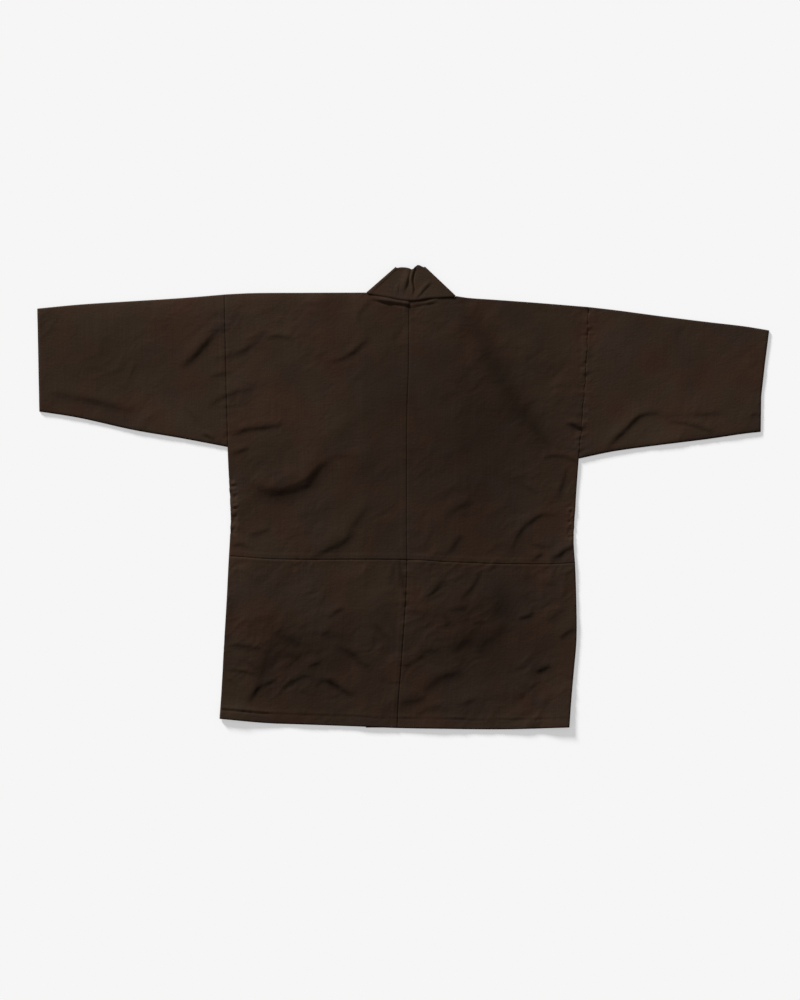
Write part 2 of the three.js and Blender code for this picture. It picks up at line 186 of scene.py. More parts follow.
# A lightness above 1 paints the cloth lighter, as painted light.
def makeSilk(name, lightness=1.0):
    finish = Finish(name)
    clothMap = finish.node("ShaderNodeUVMap", {"uv_map": "clothMap"}, {})
    place = finish.node("ShaderNodeTexCoord", {}, {}, "Object")
    # shade holds random tone together with painted shade and painted light, set on the cloth's points.
    shade = finish.node("ShaderNodeAttribute", {"attribute_name": "shade"}, {}, "Fac")

    def noise(source, size, detail, moved=0.0):  # lumps of this size
        scale = tuple(1 / length for length in size) + (1,) * (3 - len(size))
        sockets = {"Vector": source, "Scale": scale, "Location": (moved, moved, 0)}
        mapped = finish.node("ShaderNodeMapping", {}, sockets)
        return finish.node("ShaderNodeTexNoise", {}, {"Vector": mapped, "Scale": 1, "Detail": detail})

    def spread(fac, low, high):
        return finish.node("ShaderNodeMapRange", {}, {"Value": fac, "From Min": low, "From Max": high})

    def blend(fac, first, second):
        return finish.node("ShaderNodeMix", {"data_type": "RGBA"}, {0: fac, 6: first, 7: second}, 2)

    size = (silk["patch"],) * 3
    reddish = spread(noise(place, size, 2), 0.42, 0.62)
    # Where shade is painted darker the colour also turns towards plum, as part of the painted shade.
    plummy = spread(noise(place, size, 2, 7.3), 0.52, 0.66) + (1 - shade) * 1.2
    colour = blend(reddish, silk["olive"] + (1,), silk["red"] + (1,))
    colour = blend(plummy, colour, silk["plum"] + (1,))
    length, width = silk["slub"]
    weft = noise(clothMap, (length, width), 1)
    warp = noise(clothMap, (width, length * 2.5), 1)
    grainSize, grainShare = silk["grain"]
    grain = noise(clothMap, (grainSize, grainSize), 2, 3.7)
    streaks = 1 + (weft - 0.5) * 2 * silk["weftShare"] + (warp - 0.5) * 2 * silk["warpShare"]
    streaks = streaks + (grain - 0.5) * 2 * grainShare
    # The colour is scaled by the painted shade in shade, and by lightness, which is painted light for
    # the collar.
    tone = streaks * shade * lightness
    shaded = {"Vector": colour, "Scale": tone}
    colour = finish.node("ShaderNodeVectorMath", {"operation": "SCALE"}, shaded)
    along = finish.node("ShaderNodeSeparateXYZ", {}, {"Vector": clothMap}, "X")
    up = finish.node("ShaderNodeSeparateXYZ", {}, {"Vector": clothMap}, "Y")
    turn = 2 * math.pi / silk["thread"]
    crinkle = noise(clothMap, silk["crinkle"][:2], 2)
    relief = (along * turn).sin() * (up * turn).sin() * 0.00003 + weft * 0.00010 + warp * 0.00009
    relief = relief + crinkle * silk["crinkle"][2]
    bumped = {"Strength": 0.5, "Distance": 1, "Height": relief}
    bump = finish.node("ShaderNodeBump", {}, bumped, "Normal")
    finish.fill(finish.shader, {
        "Base Color": colour,
        "Roughness": silk["roughness"] + (weft - 0.5) * 0.3,
        "Normal": bump,
        "Specular IOR Level": silk["gloss"],
        "Specular Tint": silk["glossTint"],
        "Sheen Weight": silk["sheen"],
        "Sheen Tint": silk["sheenTint"],
    })
    return finish.material


bodySilk = makeSilk("brown_silk")
# The collar's copy of the silk is painted 22% lighter: painted light for the collar band, which tilts
# towards the light.
paintedLighterCollarSilk = makeSilk("brown_silk_painted_lighter", 1.22)
print("stage: cloth")


wall = 0.0008  # the cloth, and its height in the two layers
layer = {"under": wall / 2, "upper": 0.0036 - wall / 2, "between": 0.0016}
finePlaces = [0, 0.0002, 0.0006, 0.0012, 0.0020, 0.0030, 0.0044]  # close to an edge or a seam
step = 0.0022
tuck = 0.0014  # how far one side of a seam runs on under the other


def frameEdges(node, above=-1.0, below=1.0):
    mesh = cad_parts[node].data
    points = np.empty(len(mesh.vertices) * 3)
    mesh.vertices.foreach_get("co", points)
    ends = np.empty(len(mesh.edges) * 2, np.int32)
    mesh.edges.foreach_get("vertices", ends)
    edges = points.reshape(-1, 3)[ends.reshape(-1, 2)]
    heights = edges[:, :, 2]
    return edges[(heights.min(1) > above) & (heights.max(1) < below)]


def cornerOf(edges, right, up):
    points = edges.reshape(-1, 3)
    return points[np.argmax(points[:, 0] * right + points[:, 1] * up)]


# The outline between two places along X (0) or Y (1), as a function that runs on straight past them.
def edgeCurve(edges, along, start, end, pick):
    margin = 0.02 * (end - start)
    places = np.linspace(start + margin, end - margin, 60)
    first, second = edges[:, 0], edges[:, 1]
    found = []
    for place in places:
        before, after = first[:, along] - place, second[:, along] - place
        crossed = before * after < 0
        share = before[crossed] / (before[crossed] - after[crossed])
        values = first[crossed, 1 - along] * (1 - share) + second[crossed, 1 - along] * share
        found.append(pick(values))
    found = np.array(found)
    reach = 0.2
    startSlope = (found[3] - found[0]) / (places[3] - places[0])
    endSlope = (found[-1] - found[-4]) / (places[-1] - places[-4])
    places = np.concatenate([[places[0] - reach], places, [places[-1] + reach]])
    found = np.concatenate([[found[0] - startSlope * reach], found, [found[-1] + endSlope * reach]])
    return lambda at: np.interp(at, places, found)


# The four edges of a piece of cloth. With neckX, its top edge ends there.
def regionOf(edges, neckX=None):
    lowLeft, lowRight = cornerOf(edges, -1, -1), cornerOf(edges, 1, -1)
    topLeft, topRight = cornerOf(edges, -1, 1), cornerOf(edges, 1, 1)
    return {
        "left": edgeCurve(edges, 1, lowLeft[1], topLeft[1], np.min),
        "right": edgeCurve(edges, 1, lowRight[1], topRight[1], np.max),
        "bottom": edgeCurve(edges, 0, lowLeft[0], lowRight[0], np.min),
        "top": edgeCurve(edges, 0, *(topLeft[0], topRight[0]) if neckX is None else neckX, np.max),
    }


# Points at the shares across and up a region, whose edges are first moved inwards by offsets.
def placeIn(region, across, up, offsets):
    x, y = np.zeros(np.broadcast(across, up).shape), np.zeros(np.broadcast(across, up).shape)
    for _ in range(7):
        left = region["left"](y) + offsets.get("left", 0)
        right = region["right"](y) - offsets.get("right", 0)
        x = left + (right - left) * across
        bottom = region["bottom"](x) + offsets.get("bottom", 0)
        top = region["top"](x) - offsets.get("top", 0)
        y = bottom + (top - bottom) * up
    return x, y


def graded(length, fineStart=True, fineEnd=True, pitch=step):
    start = finePlaces if fineStart else [0]
    end = [length - place for place in reversed(finePlaces)] if fineEnd else [length]
    count = max(2, round((end[0] - start[-1]) / pitch))
    return np.array(start + list(np.linspace(start[-1], end[0], count + 1)[1:-1]) + end) / length


def smooth(t):
    t = np.clip(t, 0, 1)
    return t * t * (3 - 2 * t)


# Even noise from -1 to 1 with lumps of this size, drawn out along the turned way.
def softNoise(x, y, size, seed, turned=0.4, stretch=1.0):
    lattice = np.random.default_rng(seed).uniform(-1, 1, (128, 128))
    along = (x * math.cos(turned) + y * math.sin(turned)) / (size * stretch) + 500
    across = (y * math.cos(turned) - x * math.sin(turned)) / size + 500
    i, j = np.floor(along).astype(int), np.floor(across).astype(int)
    s, t = smooth(along - i), smooth(across - j)
    i0, i1, j0, j1 = i % 128, (i + 1) % 128, j % 128, (j + 1) % 128
    low = lattice[i0, j0] * (1 - s) + lattice[i1, j0] * s
    high = lattice[i0, j1] * (1 - s) + lattice[i1, j1] * s
    return low * (1 - t) + high * t


# Creases, in millimetres: how wide and how high, then the places that the crease runs through. The
# cloth rises slowly on the left of that way, falls off at the crease, and lies flat on its right.
creases = {
    "sleeve_left": [
        (7.5, 1.9, (-412, 238), (-385, 262), (-352, 298), (-326, 322)),
        (7.5, 1.1, (-664, 194), (-587, 180), (-544, 170), (-500, 156)),
        (6, 0.9, (-352, 254), (-298, 269), (-275, 287), (-254, 309)),
        (4.5, 0.6, (-362, 222), (-338, 227), (-312, 231)),
        (5, 0.8, (-362, 167), (-327, 188), (-278, 201)),
        (4, 0.5, (-405, 170), (-384, 146), (-364, 122)),
        (3, 1.2, (-374, 117), (-363, 114), (-350, 105)),
    ],
    "body_left": [
        (4, 0.7, (-255, 294), (-232, 297), (-206, 292)),
        (5, 0.7, (-81, 321), (-79, 343), (-58, 365)),
        (5, 1.1, (-132, 248), (-100, 262), (-84, 274), (-60, 298)),
        (5, 1.4, (-319, 114), (-290, 124), (-268, 127), (-216, 135)),
        (4, 0.9, (-319, 77), (-300, 85), (-282, 92)),
        (13, 4.0, (-281, 32), (-262, 16), (-243, 8), (-208, 13), (-178, 25), (-158, 50), (-131, 73)),
        (6, 0.5, (-140, 74), (-110, 76), (-80, 74)),
        (4, 0.7, (-286, -71), (-265, -66), (-245, -58)),
        (4, 0.8, (-319, -92), (-299, -87), (-281, -101)),
        (8.5, 2.0, (-172, -116), (-142, -99), (-112, -84), (-88, -62)),
        (7, 0.7, (-106, -72), (-84, -42), (-62, -10)),
    ],
    "body_right": [
        (16, 1.35, (262, 90), (231, 134), (210, 166), (193, 197), (174, 232), (151, 263), (126, 312),
         (118, 338)),
        (6, 0.8, (274, 84), (259, 104), (244, 121), (228, 136)),
        (4, 1.7, (299, 137), (316, 133), (334, 120)),
        (3.5, 0.9, (258, 71), (277, 76), (300, 74)),
        (4, 0.9, (290, 79), (306, 73), (324, 63)),
        (4.5, 0.9, (286, -4), (294, 22), (304, 58)),
        (4, 0.6, (214, 25), (232, 17), (251, 5)),
        (6, 1.1, (74, -38), (94, -25), (129, -4)),
        (5, 1.2, (199, -102), (216, -66), (232, -49), (259, -33), (288, -38)),
        (5.5, 1, (72, -112), (90, -95), (109, -68)),
        (4.5, 0.7, (238, -87), (258, -91), (279, -92)),
        (5, 1.7, (270, -116), (285, -110), (296, -101), (319, -89)),
        (4, 0.7, (236, -119), (249, -110), (260, -103)),
    ],
    "sleeve_right": [
        (6, 2.1, (374, 86), (392, 106), (410, 122), (438, 149), (479, 156)),
        (4, 1.1, (490, 142), (516, 136), (540, 132), (574, 118)),
        (6, 0.7, (470, 152), (530, 150), (600, 158)),
        (4, 0.6, (639, 150), (651, 152), (663, 151)),
    ],
    "lower_back_right": [
        (4.5, 0.8, (108, -190), (127, -168), (136, -154), (147, -138)),
        (6.5, 0.8, (43, -189), (60, -170), (76, -149)),
        (4.5, 0.5, (80, -209), (100, -207), (121, -205)),
        (4.5, 0.7, (96, -230), (86, -236), (77, -226), (75, -214)),
        (4.5, 0.55, (127, -236), (138, -232), (150, -228)),
        (5, 1.35, (212, -226), (228, -221), (244, -213)),
        (5, 1.35, (288, -262), (302, -252), (318, -241)),
        (5, 1.35, (245, -325), (260, -318), (275, -311)),
        (6.5, 0.65, (269, -233), (284, -216), (303, -206)),
        (6.5, 1.2, (-8, -381), (20, -377), (44, -369)),
        (8, 1.35, (36, -362), (54, -344), (78, -331), (110, -320)),
        (5, 0.55, (7, -210), (24, -212), (42, -217)),
        (5, 0.7, (97, -388), (120, -380), (144, -369)),
        (5, 0.65, (23, -405), (40, -395), (61, -383)),
        (3.5, 0.5, (-2, -313), (6, -311), (14, -308)),
        (8.5, 0.7, (86, -288), (112, -270), (140, -263)),
        (8, 0.65, (132, -300), (150, -272), (176, -252), (186, -226)),
        (10, 0.7, (236, -338), (250, -310), (256, -286)),
        (9, 0.5, (164, -228), (176, -200), (172, -172)),
        (5.5, 0.5, (28, -300), (46, -284), (72, -286)),
        (5, 0.55, (44, -404), (62, -390), (86, -394)),
    ],
    "lower_back_left": [
        (4.5, 1.3, (-322, -273), (-292, -276), (-259, -282)),
        (4, 0.65, (-293, -301), (-281, -309), (-270, -319)),
        (3.5, 0.55, (-296, -290), (-284, -284), (-274, -288)),
        (3, 0.75, (-332, -320), (-304, -322), (-270, -328)),
        (3, 0.75, (-332, -335), (-320, -339), (-309, -345)),
        (5, 1.2, (-287, -381), (-275, -361), (-262, -350), (-233, -335)),
        (4, 0.65, (-224, -354), (-212, -344), (-200, -335)),
        (5, 1.75, (-164, -352), (-150, -340), (-134, -341), (-114, -355), (-92, -370)),
        (5, 1, (-130, -273), (-93, -290), (-76, -308), (-58, -319)),
        (4.5, 0.9, (-140, -225), (-124, -213), (-106, -204)),
        (4, 0.55, (-154, -256), (-145, -252), (-134, -248)),
        (4, 0.75, (-178, -315), (-166, -310), (-152, -306)),
        (4.5, 0.75, (-58, -231), (-43, -244), (-28, -266)),
        (4.5, 0.65, (-24, -212), (-17, -235), (-7, -266)),
        (7.5, 1, (-240, -250), (-214, -262), (-186, -274)),
        (8.5, 0.9, (-274, -362), (-258, -312), (-250, -286), (-236, -262)),
        (4, 0.75, (-212, -349), (-194, -336), (-178, -331), (-167, -338)),
        (4, 1, (6, -201), (-2, -159), (-9, -112)),
        (4, 0.75, (-24, -164), (-20, -140), (-19, -118)),
        (6.5, 0.55, (-230, -300), (-206, -292), (-188, -304)),
        (5, 0.45, (-205, -372), (-186, -360), (-170, -366)),
        (9.5, 0.65, (-150, -262), (-120, -256), (-98, -268)),
    ],
}
creaseShape = {
    "steps": 4,
    "spread": 1.55,  # how much wider than its row says, and higher
    "taller": 0.85,
    "back": 1.45,
    "dip": 0.26,
    "dipWidth": 0.9,
    "waver": 0.9,
    "calmWidth": 0.009,  # narrower ones run straighter
    "patchy": 0.4,
    "shadow": 0.20,  # painted shadow: the cloth in a crease is painted darker
    "shadowWidth": 0.9,
}

# The cloth bunches in a roll under the collar seam, on the left half only.
neckRoll = (3.6, 3.0, (-64, 367), (-26, 360.5), (-6, 357.5), (12, 354.5))
neckStub = (3.0, 1.5, (10, 352.5), (24, 354.5), (42, 357.5), (66, 362))

# Wide soft hollows and one swell, in millimetres: x, y, half length, half width, turned in degrees,
# and how deep, which is below 0 for the swell.
hollows = [
    (142, -262, 55, 32, 25, 1.3),
    (-216, -254, 34, 20, 0, 1.0),
    (131, 232, 40, 15, 47, -0.45),
]


def throughPlaces(places):  # a smooth line through them
    points = np.array(places) / 1000
    ends = np.concatenate([[2 * points[0] - points[1]], points, [2 * points[-1] - points[-2]]])
    t = (np.arange(creaseShape["steps"]) / creaseShape["steps"])[:, None]
    line = []
    for i in range(1, len(ends) - 2):
        p0, p1, p2, p3 = ends[i - 1], ends[i], ends[i + 1], ends[i + 2]
        bend = (2 * p0 - 5 * p1 + 4 * p2 - p3) * t**2 + (3 * p1 - p0 - 3 * p2 + p3) * t**3
        line.append(p1 + 0.5 * ((p2 - p0) * t + bend))
    line.append(points[-1:])
    return np.concatenate(line)


# The rise of one crease, and how much of its painted shadow falls on each point.
def creaseForm(x, y, row, blunt=False, spread=1.0):
    width, height = row[0] / 1000 * spread, row[1] / 1000
    line = throughPlaces(row[2:])
    reach = 5 * width
    low, high = line.min(0) - reach, line.max(0) + reach
    near = (x > low[0]) & (x < high[0]) & (y > low[1]) & (y < high[1])
    rise, shadow = np.zeros(x.shape), np.zeros(x.shape)
    if not near.any():
        return rise, shadow
    px, py = x[near], y[near]
    nearest = np.full(px.shape, 9.0)
    side, share = np.zeros(px.shape), np.zeros(px.shape)
    spans = np.diff(line, axis=0)
    lengths = np.hypot(spans[:, 0], spans[:, 1])
    starts = np.concatenate([[0], np.cumsum(lengths)]) / lengths.sum()
    for i, (dx, dy) in enumerate(spans):
        s = np.clip(((px - line[i, 0]) * dx + (py - line[i, 1]) * dy) / lengths[i] ** 2, 0, 1)
        offX, offY = px - line[i, 0] - s * dx, py - line[i, 1] - s * dy
        distance = np.hypot(offX, offY)
        closer = distance < nearest
        nearest = np.where(closer, distance, nearest)
        side = np.where(closer, np.sign(dx * offY - dy * offX), side)
        share = np.where(closer, starts[i] + s * (starts[i + 1] - starts[i]), share)
    uneven = softNoise(px, py, 0.009, 91) + 0.6 * softNoise(px, py, 0.004, 92)
    waver = creaseShape["waver"] / 1000 * min(1, width / creaseShape["calmWidth"])
    u = (side * nearest + waver * uneven) / width + 0.5
    dip = creaseShape["dip"]
    flat = -dip * np.exp(-((u / creaseShape["dipWidth"]) ** 2))
    fall = -dip + (1 + dip) * smooth(u)
    back = np.exp(-((np.maximum(u - 1, 0) / creaseShape["back"]) ** 2))
    fade = np.maximum(0, np.sin(math.pi * share)) ** 0.7
    if blunt:
        fade = np.sin(math.pi / 2 * np.minimum(1, share * 1.3))
    fade = fade * (1 + creaseShape["patchy"] * softNoise(px, py, max(0.016, 2.2 * width), 93))
    rise[near] = height * fade * np.where(u < 0, flat, np.where(u < 1, fall, back))
    shadow[near] = fade * np.exp(-(((u - 0.3) / creaseShape["shadowWidth"]) ** 2))
    return rise, shadow


# How much each piece is crumpled, in millimetres: broad waves, and the fine creases.
crumple = {
    "sleeve_left": (0.7, 0.42),
    "body_left": (0.9, 0.44),
    "body_right": (0.9, 0.52),
    "sleeve_right": (0.7, 0.48),
    "lower_back_left": (1.2, 0.90),
    "lower_back_right": (1.1, 0.80),
}
bandZone = {"from": -0.0694, "to": 0.0981, "lift": 0.0009, "ramp": 0.030}
# The right side and the hem stand off the floor here and there: where, and how far, in millimetres.
lifted = {
    "width": 45,
    "side": [(-430, 4.8), (-380, 3.8), (-330, 1.6), (-230, 2.0), (-160, 0.6), (-90, 0), (-10, 0.9),
             (60, 0.8), (95, 0)],
    "hem": [(-340, 4.0), (-285, 3.0), (-215, 0.2), (-110, 0), (-20, 0.4), (60, 1.0), (150, 0.9),
            (240, 1.6), (310, 4.5)],
}

# Painted shade where the cloth is painted darker, or painted light below 0, in millimetres: x, y, half
# length, half width, turned, share darker.
darker = [
    (150, 100, 235, 150, 90, 0.34),
    (-60, 80, 105, 210, 0, 0.18),
    (-238, 10, 66, 105, 0, 0.18),
    (296, -60, 22, 300, 0, 0.06),
    (0, -400, 340, 34, 0, 0.08),
    (300, -330, 26, 90, 0, 0.07),
    (300, 62, 24, 30, 0, 0.09),
    (343, 268, 26, 5, 85, 0.16),
    (326, 194, 18, 6, 80, 0.16),
    (318, 134, 14, 6, 60, 0.18),
    (-165, -305, 175, 95, 0, 0.33),
    (140, -262, 165, 130, 0, 0.30),
    (180, -205, 34, 26, 60, 0.17),
    (152, -275, 34, 28, 20, 0.17),
    (-205, -262, 50, 20, -25, 0.10),
    (-262, -330, 60, 22, 70, 0.08),
    (192, 200, 80, 14, -59, 0.04),
    (-335, -130, 50, 50, 0, -0.12),
    (306, 0, 16, 130, 0, -0.10),
    (9, 351, 4, 9, 0, 0.35),
    (-490, 356, 190, 22, 4, -0.24),
    (-190, 374, 150, 18, 0, -0.12),
    (-245, 325, 110, 55, 0, -0.07),
    (-560, 330, 120, 40, 5, -0.06),
    (-425, 155, 75, 30, -10, -0.12),
    (466, 112, 90, 28, 9, -0.13),
    (530, 265, 80, 50, 0, 0.08),
    (-560, 260, 60, 50, 0, 0.05),
]


# Creases of the layer below, which lifts off the floor there: width, height and places, in millimetres.
underCreases = {
    "body_left": [
        (13, 2.2, (-300, 60), (-262, 20), (-214, 6), (-170, 30), (-140, 70)),
        (10, 1.6, (-320, 150), (-280, 170), (-230, 178)),
        (9, 1.4, (-104, 330), (-138, 270), (-150, 205)),
        (11, 1.8, (-96, -50), (-140, -100), (-158, -160), (-150, -215)),
        (9, 1.5, (-300, -160), (-262, -190), (-240, -240)),
        (8, 1.3, (-318, -300), (-280, -316), (-236, -310)),
        (9, 0.8, (-226, -300), (-190, -322), (-150, -322)),
        (8, 1.2, (-96, -270), (-114, -300), (-150, -312)),
    ],
    "body_right": [
        (15, 2.2, (128, 318), (160, 250), (200, 186), (246, 120)),
        (9, 1.5, (300, 60), (270, 30), (216, 22)),
        (10, 1.7, (118, 20), (150, -30), (152, -90)),
        (9, 1.4, (310, -110), (270, -128), (232, -120)),
        (11, 0.7, (124, -150), (140, -178), (146, -214)),
        (9, 1.6, (306, -250), (270, -280), (246, -322)),
        (8, 1.3, (120, -330), (160, -352), (206, -356)),
        (8, 1.2, (236, -180), (262, -204), (300, -208)),
    ],
    "sleeve_left": [
        (10, 1.8, (-345, 300), (-392, 262), (-436, 240)),
        (8, 1.3, (-632, 196), (-560, 182), (-500, 158)),
        (8, 1.2, (-508, 330), (-556, 304), (-596, 298)),
        (8, 1.1, (-352, 180), (-392, 186), (-430, 176)),
    ],
    "sleeve_right": [
        (10, 1.8, (366, 104), (412, 132), (474, 150)),
        (8, 1.2, (556, 176), (604, 184), (650, 174)),
        (8, 1.2, (372, 310), (420, 292), (486, 296)),
        (8, 1.0, (520, 262), (560, 250), (606, 258)),
    ],
}


def inSpot(x, y, spot):
    atX, atY, half, across, turned = spot[:5]
    cos, sin = math.cos(math.radians(turned)), math.sin(math.radians(turned))
    u = ((x - atX / 1000) * cos + (y - atY / 1000) * sin) * 1000 / half
    v = ((y - atY / 1000) * cos - (x - atX / 1000) * sin) * 1000 / across
    return np.exp(-(u * u + v * v))


def crumpled(x, y):
    warpX = x + 0.010 * softNoise(x, y, 0.028, 15)
    warpY = y + 0.010 * softNoise(x, y, 0.028, 17)
    dents = softNoise(warpX, warpY, 0.016, 7, 0.75, 1.9)
    ridges = (1 - np.abs(softNoise(warpX, warpY, 0.013, 9, 0.6, 2.4))) ** 1.6
    crossed = np.abs(softNoise(warpX, warpY, 0.011, 10, 2.2, 1.8))
    small = softNoise(warpX, warpY, 0.0065, 13, 0.7, 1.6)
    patchy = 0.25 + 0.75 * smooth(0.5 + softNoise(x, y, 0.055, 11))
    return patchy * (0.8 * dents + 0.5 * ridges + 0.35 * crossed + 0.32 * small - 0.3)


def clothTop(x, y, piece):  # the rise of the upper layer over its flat height
    outside = np.maximum(bandZone["from"] - x, x - bandZone["to"])
    rise = bandZone["lift"] * (1 - smooth(outside / bandZone["ramp"]))
    for rows in creases.values():
        for row in rows:
            rise = rise + creaseShape["taller"] * creaseForm(x, y, row, False, creaseShape["spread"])[0]
    rise = rise + creaseForm(x, y, neckRoll, True)[0] * (x < 0.0115)
    rise = rise + creaseForm(x, y, neckStub)[0] * (x > 0.0115)
    for spot in hollows:
        rise = rise - spot[5] / 1000 * inSpot(x, y, spot)
    broad, fine = (size / 1000 for size in crumple[piece])
    rise = rise + broad * (0.8 * softNoise(x, y, 0.080, 3) + 0.8 * softNoise(x, y, 0.036, 5, 0.8, 1.6))
    rise = rise + fine * crumpled(x, y)
    lowest = -0.0013
    return np.where(rise > 0, rise, lowest * np.tanh(rise / lowest))


# The rise of the layer below off the floor, within the room under the pieces that lie on it.
def underRise(x, y, node, above, gap=0.0007):
    rise = 0.0003 * softNoise(x, y, 0.035, 31, 1.2, 3.0)
    for row in underCreases[node]:
        rise = rise + creaseForm(x, y, row)[0]
    around = [(0, 0), (0.004, 0.004), (0.004, -0.004), (-0.004, 0.004), (-0.004, -0.004)]
    top = np.minimum.reduce([clothTop(x + dx, y + dy, piece) for piece in above for dx, dy in around])
    space = np.maximum(0.0001, layer["upper"] + top - layer["under"] - wall - gap)
    return np.where(rise > 0, space * np.tanh(rise / space), 0)


# Painted shade for the layer below: random tone, and painted shadow in its creases.
def underShade(x, y):
    shade = 1 + 0.05 * softNoise(x, y, 0.06, 85) + 0.03 * softNoise(x, y, 0.02, 87)
    for rows in underCreases.values():
        for row in rows:
            shade = shade - creaseShape["shadow"] * creaseForm(x, y, row)[1]
    return shade


def edgeLift(along, inside, edge):
    places, heights = np.array(lifted[edge]).T / 1000
    return np.interp(along, places, heights) * smooth(1 - inside * 1000 / lifted["width"])


# Painted shade for the upper layer: random tone, the painted shade and light spots, and painted shadow
# in each crease.
def clothShade(x, y):
    shade = 1 + 0.05 * softNoise(x, y, 0.06, 81) + 0.03 * softNoise(x, y, 0.02, 83)
    for spot in darker:
        shade = shade - spot[5] * inSpot(x, y, spot)
    for rows in creases.values():
        for row in rows:
            strength = creaseShape["shadow"] * min(1.4, row[1])
            shade = shade - strength * creaseForm(x, y, row, False, creaseShape["spread"])[1]
    return shade


# Painted shade along edges and seams, and painted light where below 0: how much darker, and how wide
# in millimetres.
paintedEdgeShade = {
    "hem": (0.42, 2.3),
    "fold": (0.50, 2.0),
    "foldShadow": (0.20, 7),  # right sleeve, painted shade above its lower fold
    "cuff": (0.12, 1.6),
    # painted light along the top folds
    "shoulder": (-0.16, 9),
    "neck": (0.42, 1.5),
    "collarRim": (0.22, 1.4),
    "acrossLeft": (0.42, 1.3),
    "acrossRight": (0.16, 1.3),
    # painted light on the gathers' puckers
    "gathersLeft": (-0.34, 5),
    "gathersRight": (-0.10, 5),
    # painted shade along the allowance edge that shows through
    "allowance": (0.24, 1.1),
    # painted light that lifts the shade in the right sleeve seam
    "seamRight": (-0.35, 1.4),
}


def paintedEdgeShadeAt(distance, name):
    amount, width = paintedEdgeShade[name]
    return amount * np.exp(-((distance * 1000 / width) ** 2))


def edgeRoll(z, distance, low, radius=0.0026):  # turns an edge down to what lies under it
    share = 1 - np.clip(distance / radius, 0, 1)
    return low + (z - low) * np.sqrt(1 - share**2)


# Small waves across a seam, s along it, that die out away from it.
def pucker(s, distance, pitch, amount, seed, reach=0.006):
    waves = softNoise(s, s * 0, pitch, seed) + 0.5 * softNoise(s, s * 0, pitch * 0.45, seed + 1)
    return amount * waves * np.exp(-distance / reach)


# The right sleeve's seam isn't straight, and the cloth is crinkled on both sides of it.
crookedSeam = {
    "waver": 0.0012,
    "pitch": 0.014,
    "crinkle": 0.0008,
    "lumps": 0.0055,
    "reach": 0.012,
    "line": 0.0058,  # from the seam to the edge of the allowance that shows through
}


def seamWaver(y, distance, low, top):
    pitch = crookedSeam["pitch"]
    waves = softNoise(y, y * 0, pitch, 29) + 0.5 * softNoise(y, y * 0, pitch / 2, 30)
    ends = smooth((top - y) / 0.02) * smooth((y - low) / 0.02)
    return crookedSeam["waver"] * waves * ends * np.exp(-distance / 0.010)


def seamCrinkle(x, y, distance):
    lumps = softNoise(x, y, crookedSeam["lumps"], 34, 0.3, 1.5)
    return crookedSeam["crinkle"] * lumps * np.exp(-distance / crookedSeam["reach"])


# A grid shaped to points (across, along), given its wall.
def finishSheet(name, points, tone, kept=None, closed=False, thickness=wall, material=bodySilk):
    nu, nv = points.shape[:2]
    bpy.ops.object.select_all(action="DESELECT")
    bpy.ops.mesh.primitive_grid_add(x_subdivisions=nu - 1, y_subdivisions=nv - 1, size=1)
    piece = bpy.context.object
    piece.name = name
    mesh = piece.data
    mesh.name = name
    places = np.empty(len(mesh.vertices) * 3)
    mesh.vertices.foreach_get("co", places)
    places = places.reshape(-1, 3)
    i = np.rint((places[:, 0] + 0.5) * (nu - 1)).astype(int)
    j = np.rint((places[:, 1] + 0.5) * (nv - 1)).astype(int)
    mesh.vertices.foreach_set("co", points[i, j].ravel())
    alongU = np.cumsum(np.linalg.norm(np.diff(points, axis=0, prepend=points[:1]), axis=2), axis=0)
    alongV = np.cumsum(np.linalg.norm(np.diff(points, axis=1, prepend=points[:, :1]), axis=2), axis=1)
    clothMap = np.stack([alongU, alongV], axis=2)
    # The shade attribute: random tone with painted shade and painted light from clothShade or
    # underShade, less the painted edge shade in tone.
    shade = mesh.attributes.new("shade", "FLOAT", "POINT")
    x, y, z = points[i, j].T
    toneAndPaintedShade = np.where(z > layer["between"], clothShade(x, y), underShade(x, y)) - tone[i, j]
    shade.data.foreach_set("value", toneAndPaintedShade)
    corners = np.empty(len(mesh.loops), np.int32)
    mesh.loops.foreach_get("vertex_index", corners)
    mesh.uv_layers[0].name = "clothMap"
    mesh.uv_layers[0].data.foreach_set("uv", clothMap[i[corners], j[corners]].ravel())
    bpy.ops.object.mode_set(mode="EDIT")
    bpy.ops.mesh.select_mode(type="VERT")
    bpy.ops.mesh.select_all(action="DESELECT")
    bpy.ops.object.mode_set(mode="OBJECT")
    if kept is not None:
        mesh.vertices.foreach_set("select", ~kept[i, j])
        bpy.ops.object.mode_set(mode="EDIT")
        bpy.ops.mesh.delete(type="VERT")
        bpy.ops.object.mode_set(mode="OBJECT")
    if closed:
        bpy.ops.object.mode_set(mode="EDIT")
        bpy.ops.mesh.select_all(action="SELECT")
        bpy.ops.mesh.remove_doubles(threshold=0.00001)
        bpy.ops.mesh.select_all(action="DESELECT")
        bpy.ops.object.mode_set(mode="OBJECT")
    solid = piece.modifiers.new("wall", "SOLIDIFY")
    solid.thickness = thickness
    solid.offset = 0
    bpy.ops.object.modifier_apply(modifier="wall")
    bpy.ops.object.shade_smooth()
    mesh.materials.clear()
    mesh.materials.append(material)
    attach(piece, "root")
    print("made", name, len(mesh.vertices), "points")
    return piece


